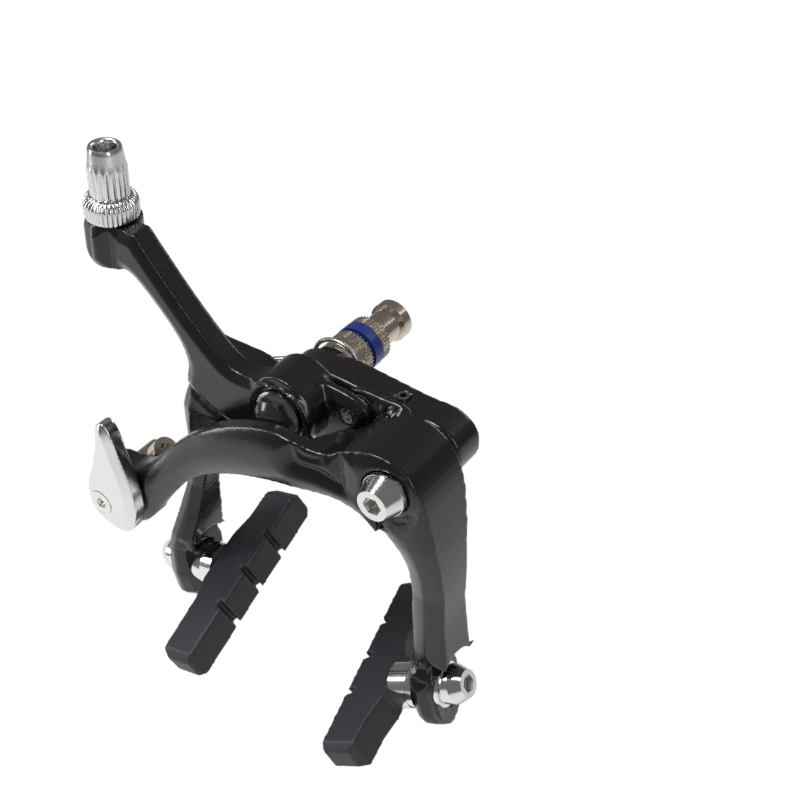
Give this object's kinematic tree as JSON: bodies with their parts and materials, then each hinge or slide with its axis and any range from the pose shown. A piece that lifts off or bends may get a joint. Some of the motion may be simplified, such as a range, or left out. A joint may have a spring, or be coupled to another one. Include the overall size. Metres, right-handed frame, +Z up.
{
  "type": "rim brake caliper",
  "caption": "Dual-pivot side-pull bicycle rim brake caliper with two curved arms, adjustable barrel, release lever and slotted rubber pads.",
  "frame": {"origin": "centre bolt's axis at the face that seats on the frame, between the front serrated washer and the frame", "axes": "+Y to the rear along the centre bolt, into the frame; +Z up; +X to the right seen from the front"},
  "size_m": [0.1016, 0.0665, 0.1363],
  "materials": {
    "black_forged": "satin",
    "black_nut": "gloss",
    "silver_anodised": "polished",
    "bright_steel": "polished",
    "nickel_steel": "satin",
    "dark_steel": "satin",
    "spring_steel": "satin",
    "bush_bronze": "satin",
    "pad_rubber": "matt",
    "blue_plastic": "gloss",
    "roller_nylon": "satin"
  },
  "bodies": {
    "carrier": {"bracket": "black_forged", "centre_bolt": "nickel_steel", "cap_nut": "black_nut", "front_washer": "bright_steel", "thrust_washer": "bright_steel", "rear_spacer": "nickel_steel", "front_serrated_washer": "nickel_steel", "blue_ring": "blue_plastic", "rear_serrated_washer": "nickel_steel", "sleeve_nut": "nickel_steel", "side_pivot_bolt": "bright_steel", "pivot_washer": "bright_steel", "centring_screw": "dark_steel", "return_spring": "spring_steel"},
    "small_arm": {"y_arm": "black_forged", "centre_bush": "bush_bronze", "link_pin": "bright_steel", "link_roller": "roller_nylon"},
    "barrel": {"barrel_adjuster": "silver_anodised"},
    "adjuster": {"adjuster_ring": "silver_anodised"},
    "big_arm": {"c_arm": "black_forged", "pivot_bush": "bush_bronze", "qr_wave_washer": "spring_steel"},
    "quick_release": {"qr_lever": "silver_anodised", "qr_screw": "bright_steel", "qr_cam": "nickel_steel", "anchor_bolt": "nickel_steel", "anchor_plate": "nickel_steel"},
    "left_pad_washers": {"left_plain_washer": "bright_steel", "left_convex_washer": "bright_steel", "left_concave_washer": "bright_steel", "left_pad_nut": "bright_steel"},
    "left_pad_shoe": {"left_pad": "pad_rubber", "left_pad_stud": "bright_steel"},
    "right_pad_washers": {"right_plain_washer": "bright_steel", "right_convex_washer": "bright_steel", "right_concave_washer": "bright_steel", "right_pad_nut": "bright_steel"},
    "right_pad_shoe": {"right_pad": "pad_rubber", "right_pad_stud": "bright_steel"}
  },
  "joints": [
    {"name": "big_arm_pivot", "type": "hinge", "parent": "carrier", "child": "big_arm", "pos_m": [0.032, 0, -0.0048], "axis": [0, 1, 0], "range_deg": [0, 6.2], "stiffness_Nm_per_rad": 1, "springref_deg": -28.65},
    {"name": "small_arm_pivot", "type": "hinge", "parent": "carrier", "child": "small_arm", "pos_m": [0, 0, 0], "axis": [0, -1, 0], "range_deg": [0, 8], "stiffness_Nm_per_rad": 1, "springref_deg": -28.65},
    {"name": "adjuster_ring_turn", "type": "hinge", "parent": "small_arm", "child": "adjuster", "pos_m": [-0.0464, -0.0237, 0.0346], "axis": [0.0872, 0, 0.9962], "range_deg": [0, 1440]},
    {"name": "barrel_travel", "type": "slide", "parent": "small_arm", "child": "barrel", "axis": [0.0872, 0, 0.9962], "range_m": [0, 0.004]},
    {"name": "quick_release_swing", "type": "hinge", "parent": "big_arm", "child": "quick_release", "pos_m": [-0.048, 0, -0.036], "axis": [0, -1, 0], "range_deg": [0, 90]},
    {"name": "left_pad_height", "type": "slide", "parent": "small_arm", "child": "left_pad_washers", "axis": [0, 0, 1], "range_m": [-0.002, 0.002]},
    {"name": "left_pad_tilt", "type": "hinge", "parent": "left_pad_washers", "child": "left_pad_shoe", "pos_m": [-0.0392, -0.02048, -0.0682], "axis": [-0.969, 0.0336, -0.2447], "range_deg": [-6, 6]},
    {"name": "right_pad_height", "type": "slide", "parent": "big_arm", "child": "right_pad_washers", "axis": [-0.2059, -0.0289, 0.9781], "range_m": [-0.002, 0.002]},
    {"name": "right_pad_tilt", "type": "hinge", "parent": "right_pad_washers", "child": "right_pad_shoe", "pos_m": [0.03293, -0.02518, -0.06977], "axis": [0.8987, 0.1309, 0.4185], "range_deg": [-6, 6]}
  ],
  "couplings": [
    {"joint": "small_arm_pivot", "follows": "big_arm_pivot", "ratio": 1.2857},
    {"joint": "adjuster_ring_turn", "follows": "barrel_travel", "rad_per_m": 6283}
  ]
}
